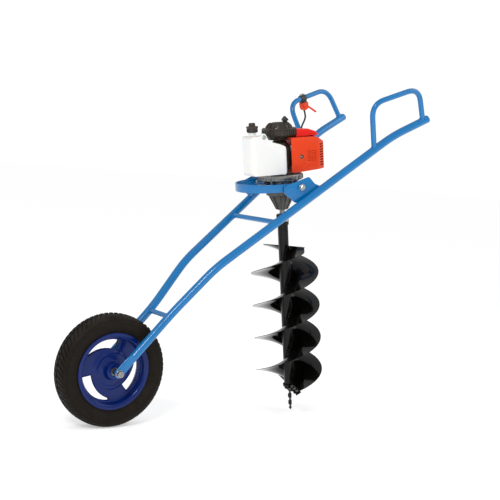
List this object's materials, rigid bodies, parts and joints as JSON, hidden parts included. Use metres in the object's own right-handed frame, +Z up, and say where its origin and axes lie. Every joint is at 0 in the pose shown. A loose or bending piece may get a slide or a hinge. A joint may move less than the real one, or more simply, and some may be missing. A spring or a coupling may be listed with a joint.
{
  "type": "ice fishing auger",
  "caption": "Petrol ice auger carried in a tilting cradle on a one-wheeled barrow frame with two raised handle loops.",
  "frame": {"origin": "on the ground under the wheel, on the tyre's lowest tread facet", "axes": "+X from the wheel to the operator's handles, +Y to the operator's right, +Z up"},
  "size_m": [1.556, 0.6122, 1.3465],
  "materials": {
    "frame_paint": "gloss blue powder coat on steel tube",
    "rim_paint": "gloss navy paint",
    "tyre": "matt black rubber",
    "bright_steel": "zinc-plated",
    "cast_aluminium": "as-cast, bead-blasted",
    "gear_steel": "oiled, machined",
    "black_plastic": "moulded black plastic",
    "cover_orange": "moulded orange plastic",
    "shroud_red": "moulded red plastic",
    "tank_white": "translucent white moulded plastic",
    "auger_black": "high-gloss black enamel on steel",
    "cast_dark": "dark cast metal",
    "cable_sheath": "black cable sheath"
  },
  "bodies": {
    "frame": {"left_rail": "frame_paint", "right_rail": "frame_paint", "left_handle_loop": "frame_paint", "right_handle_loop": "frame_paint", "left_rail_plug": "frame_paint", "right_rail_plug": "frame_paint", "left_pivot_bracket": "frame_paint", "right_pivot_bracket": "frame_paint", "lower_rung": "frame_paint", "upper_rung": "frame_paint", "axle": "bright_steel", "left_axle_nut": "bright_steel", "right_axle_nut": "bright_steel", "left_axle_spacer": "bright_steel", "right_axle_spacer": "bright_steel", "throttle_clamp": "black_plastic", "throttle_housing": "cover_orange", "throttle_cable": "cable_sheath"},
    "wheel": {"tyre": "tyre", "wheel_rim": "rim_paint", "valve_stem": "bright_steel", "left_wheel_bearing": "bright_steel", "right_wheel_bearing": "bright_steel"},
    "power_unit": {"cradle_hoop": "frame_paint", "mount_plate": "frame_paint", "left_pivot_bolt": "bright_steel", "right_pivot_bolt": "bright_steel", "gearbox_housing": "cast_dark", "output_bearing": "bright_steel", "clutch_housing": "cast_aluminium", "crankcase": "cast_aluminium", "cylinder": "cast_aluminium", "piston": "cast_aluminium", "connecting_rod": "gear_steel", "fan_housing": "black_plastic", "recoil_cover": "black_plastic", "fuel_tank": "tank_white", "tank_bolt": "bright_steel", "muffler_cover": "cover_orange", "cover_bolt": "bright_steel", "muffler": "cast_dark", "engine_shroud": "shroud_red", "carburettor": "cast_aluminium", "air_filter_cover": "black_plastic", "spark_plug": "black_plastic"},
    "crank": {"crankshaft": "gear_steel", "flywheel": "cast_aluminium", "clutch_shoes": "cast_aluminium"},
    "clutch_drum": {"clutch_drum": "gear_steel"},
    "layshaft": {"layshaft_gears": "gear_steel"},
    "auger": {"output_gear": "gear_steel", "auger_tube": "auger_black", "auger_flight": "auger_black", "cutting_blade": "auger_black", "pilot_bit": "auger_black", "coupling_bolt": "bright_steel"},
    "starter_grip": {"starter_grip": "black_plastic"},
    "starter_reel": {"starter_reel": "black_plastic"},
    "fuel_cap": {"fuel_cap": "black_plastic"},
    "throttle_lever": {"throttle_lever": "cover_orange"}
  },
  "joints": [
    {"name": "wheel_spin", "type": "hinge", "parent": "frame", "child": "wheel", "pos_m": [0, 0, 0.215], "axis": [0, 1, 0], "continuous": true},
    {"name": "cradle_tilt", "type": "hinge", "parent": "frame", "child": "power_unit", "pos_m": [0.76598, 0, 0.87574], "axis": [0, -1, 0], "range_deg": [-10, 38], "deforming": ["throttle_cable"]},
    {"name": "auger_spin", "type": "hinge", "parent": "power_unit", "child": "auger", "pos_m": [0.7886, 0, 0.876], "axis": [-0.0555, 0, 0.9985], "continuous": true},
    {"name": "layshaft_spin", "type": "hinge", "parent": "power_unit", "child": "layshaft", "pos_m": [0.81855, 0, 0.87766], "axis": [-0.0555, 0, 0.9985], "continuous": true},
    {"name": "clutch_drum_spin", "type": "hinge", "parent": "power_unit", "child": "clutch_drum", "pos_m": [0.7886, 0, 0.876], "axis": [-0.0555, 0, 0.9985], "continuous": true},
    {"name": "crank_spin", "type": "hinge", "parent": "power_unit", "child": "crank", "pos_m": [0.7886, 0, 0.876], "axis": [-0.0555, 0, 0.9985], "continuous": true},
    {"name": "starter_pull", "type": "slide", "parent": "power_unit", "child": "starter_grip", "axis": [0.2975, 0, 0.9547], "range_m": [0, 0.6], "stiffness_N_per_m": 20, "springref_m": -0.3},
    {"name": "starter_reel_spin", "type": "hinge", "parent": "power_unit", "child": "starter_reel", "pos_m": [0.7886, 0, 0.876], "axis": [-0.0555, 0, 0.9985], "continuous": true},
    {"name": "fuel_cap_lift", "type": "slide", "parent": "power_unit", "child": "fuel_cap", "axis": [-0.0555, 0, 0.9985], "range_m": [0, 0.04]},
    {"name": "throttle_squeeze", "type": "hinge", "parent": "frame", "child": "throttle_lever", "pos_m": [1.12547, 0.28626, 1.18901], "axis": [0.1028, -0.9947, 0], "range_deg": [0, 18], "stiffness_Nm_per_rad": 1.5, "springref_deg": -17.19}
  ],
  "couplings": [
    {"joint": "layshaft_spin", "follows": "auger_spin", "ratio": -4.5556},
    {"joint": "clutch_drum_spin", "follows": "auger_spin", "ratio": 20.753},
    {"joint": "starter_reel_spin", "follows": "starter_pull", "rad_per_m": 41.667}
  ]
}
